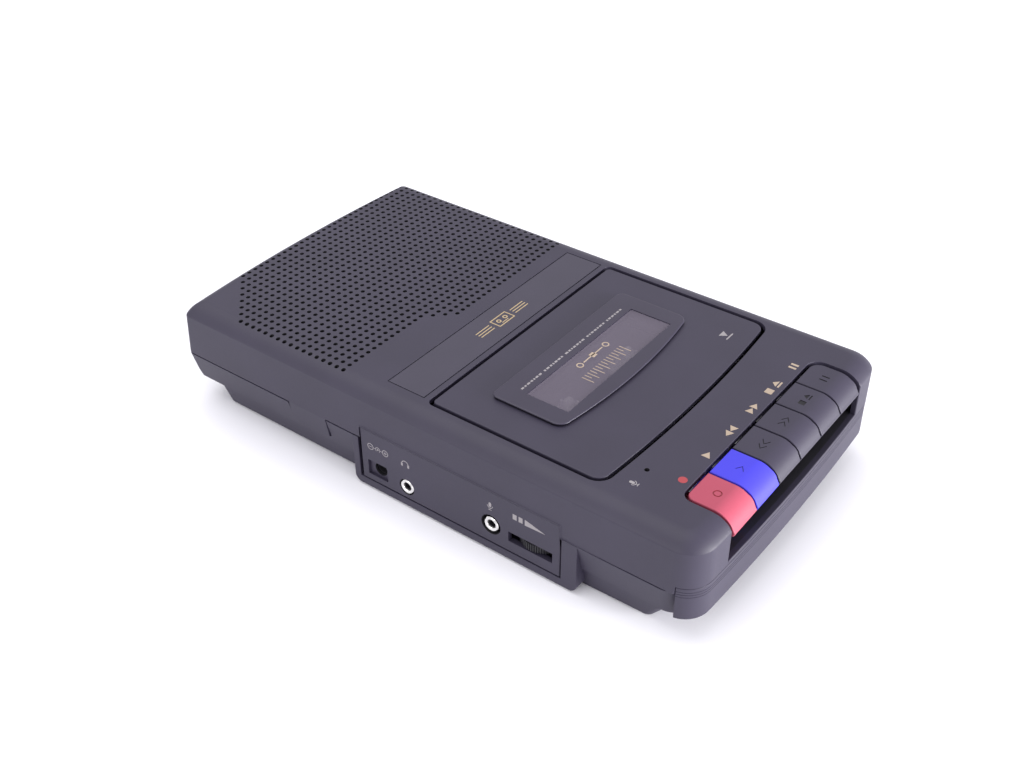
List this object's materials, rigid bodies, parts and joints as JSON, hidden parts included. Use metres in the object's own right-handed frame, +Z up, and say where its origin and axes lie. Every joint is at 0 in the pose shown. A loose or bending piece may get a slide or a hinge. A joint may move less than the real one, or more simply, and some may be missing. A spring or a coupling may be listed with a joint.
{
  "type": "portable cassette recorder",
  "caption": "Flat portable cassette recorder with piano keys, hinged cassette lid, speaker end, side sockets, volume wheel and a pull-out carrying handle.",
  "frame": {"origin": "middle of the footprint, on the surface the feet stand on", "axes": "+X to the right seen from the keys, +Y from the keys towards the speaker end, +Z up"},
  "size_m": [0.1428, 0.256, 0.0501],
  "materials": {
    "charcoal": "fine matte moulded plastic, charcoal grey",
    "dark": "black plastic",
    "gloss": "glossy smoke-grey plastic",
    "red": "coral red plastic",
    "blue": "bright blue plastic",
    "clear": "smoked clear plastic",
    "steel": "zinc-plated steel",
    "nickel": "nickel plate",
    "brass": "turned brass",
    "rubber": "black rubber",
    "board": "phenolic circuit board",
    "paper": "black paper cone",
    "ivory": "ivory acetal",
    "ferrite": "dark grey ferrite or epoxy"
  },
  "bodies": {
    "case": {"upper_case": "charcoal", "lower_case": "charcoal", "dc_jack": "dark", "filter_capacitor": "dark", "key_rod": "steel", "key_bracket_left": "steel", "key_bracket_right": "steel", "tape_chassis": "steel", "motor": "steel", "speaker_frame": "steel", "case_screw_1": "steel", "case_screw_2": "steel", "case_screw_3": "steel", "case_screw_4": "steel", "record_switch": "ivory", "drive_belt": "rubber", "foot_1": "rubber", "foot_2": "rubber", "foot_3": "rubber", "foot_4": "rubber", "earphone_jack": "nickel", "mic_jack": "nickel", "dc_pin": "nickel", "mic_capsule": "nickel", "battery_contact_left": "nickel", "battery_contact_right": "nickel", "speaker_magnet": "ferrite", "volume_pot": "ferrite", "amplifier_chip": "ferrite", "speaker_cone": "paper", "main_board": "board"},
    "cassette_lid": {"cassette_door": "charcoal", "door_bezel": "gloss", "door_window": "clear", "cassette_holder": "dark", "cassette_spring_left": "steel", "cassette_spring_right": "steel"},
    "record_key": {"record_key": "red"},
    "play_key": {"play_key": "blue"},
    "rewind_key": {"rewind_key": "charcoal"},
    "fast_forward_key": {"fast_forward_key": "charcoal"},
    "stop_eject_key": {"stop_eject_key": "charcoal"},
    "pause_key": {"pause_key": "charcoal"},
    "volume_wheel": {"volume_wheel": "dark"},
    "carry_handle": {"carry_handle": "charcoal"},
    "battery_cover": {"battery_cover": "charcoal"},
    "head_carriage": {"head_plate": "steel", "record_play_head": "nickel", "erase_head": "dark"},
    "pinch_arm": {"pinch_arm": "steel"},
    "pinch_roller": {"pinch_roller": "rubber"},
    "flywheel": {"flywheel": "brass"},
    "motor_pulley": {"motor_pulley": "brass"},
    "supply_spindle": {"supply_spindle": "ivory"},
    "takeup_spindle": {"takeup_spindle": "ivory"}
  },
  "joints": [
    {"name": "lid_hinge", "type": "hinge", "parent": "case", "child": "cassette_lid", "pos_m": [0, -0.00515, 0.0469], "axis": [-1, 0, 0], "range_deg": [0, 42]},
    {"name": "record_press", "type": "hinge", "parent": "case", "child": "record_key", "pos_m": [-0.04175, -0.09895, 0.035], "axis": [1, 0, 0], "range_deg": [0, 8], "stiffness_Nm_per_rad": 0.15, "springref_deg": -17.19},
    {"name": "play_press", "type": "hinge", "parent": "case", "child": "play_key", "pos_m": [-0.02505, -0.09895, 0.035], "axis": [1, 0, 0], "range_deg": [0, 8], "stiffness_Nm_per_rad": 0.15, "springref_deg": -17.19},
    {"name": "rewind_press", "type": "hinge", "parent": "case", "child": "rewind_key", "pos_m": [-0.00835, -0.09895, 0.035], "axis": [1, 0, 0], "range_deg": [0, 8], "stiffness_Nm_per_rad": 0.15, "springref_deg": -17.19},
    {"name": "fast_forward_press", "type": "hinge", "parent": "case", "child": "fast_forward_key", "pos_m": [0.00835, -0.09895, 0.035], "axis": [1, 0, 0], "range_deg": [0, 8], "stiffness_Nm_per_rad": 0.15, "springref_deg": -17.19},
    {"name": "stop_eject_press", "type": "hinge", "parent": "case", "child": "stop_eject_key", "pos_m": [0.02505, -0.09895, 0.035], "axis": [1, 0, 0], "range_deg": [0, 8], "stiffness_Nm_per_rad": 0.15, "springref_deg": -17.19},
    {"name": "pause_press", "type": "hinge", "parent": "case", "child": "pause_key", "pos_m": [0.04175, -0.09895, 0.035], "axis": [1, 0, 0], "range_deg": [0, 8], "stiffness_Nm_per_rad": 0.15, "springref_deg": -17.19},
    {"name": "volume_turn", "type": "hinge", "parent": "case", "child": "volume_wheel", "pos_m": [-0.0613, -0.05765, 0.0125], "axis": [0, 0, 1], "range_deg": [0, 290]},
    {"name": "handle_slide", "type": "slide", "parent": "case", "child": "carry_handle", "axis": [0, -1, 0], "range_m": [0, 0.034]},
    {"name": "battery_cover_slide", "type": "slide", "parent": "case", "child": "battery_cover", "axis": [0, 1, 0], "range_m": [0, 0.06]},
    {"name": "head_slide", "type": "slide", "parent": "case", "child": "head_carriage", "axis": [0, 1, 0], "range_m": [0, 0.004]},
    {"name": "pinch_swing", "type": "hinge", "parent": "case", "child": "pinch_arm", "pos_m": [0.049, -0.07895, 0.031], "axis": [0, 0, -1], "range_deg": [0, 21]},
    {"name": "pinch_roller_spin", "type": "hinge", "parent": "pinch_arm", "child": "pinch_roller", "pos_m": [0.034, -0.07745, 0.037], "axis": [0, 0, 1], "continuous": true},
    {"name": "flywheel_spin", "type": "hinge", "parent": "case", "child": "flywheel", "pos_m": [0.033, -0.06545, 0.021], "axis": [0, 0, 1], "continuous": true},
    {"name": "motor_spin", "type": "hinge", "parent": "case", "child": "motor_pulley", "pos_m": [-0.03, -0.06395, 0.019], "axis": [0, 0, 1], "continuous": true},
    {"name": "supply_spin", "type": "hinge", "parent": "case", "child": "supply_spindle", "pos_m": [-0.02125, -0.03945, 0.031], "axis": [0, 0, 1], "continuous": true},
    {"name": "takeup_spin", "type": "hinge", "parent": "case", "child": "takeup_spindle", "pos_m": [0.02125, -0.03945, 0.031], "axis": [0, 0, 1], "continuous": true}
  ],
  "couplings": [
    {"joint": "head_slide", "follows": "play_press", "m_per_rad": 0.0285},
    {"joint": "pinch_swing", "follows": "play_press", "ratio": 2.6},
    {"joint": "motor_spin", "follows": "flywheel_spin", "ratio": 5.7}
  ]
}
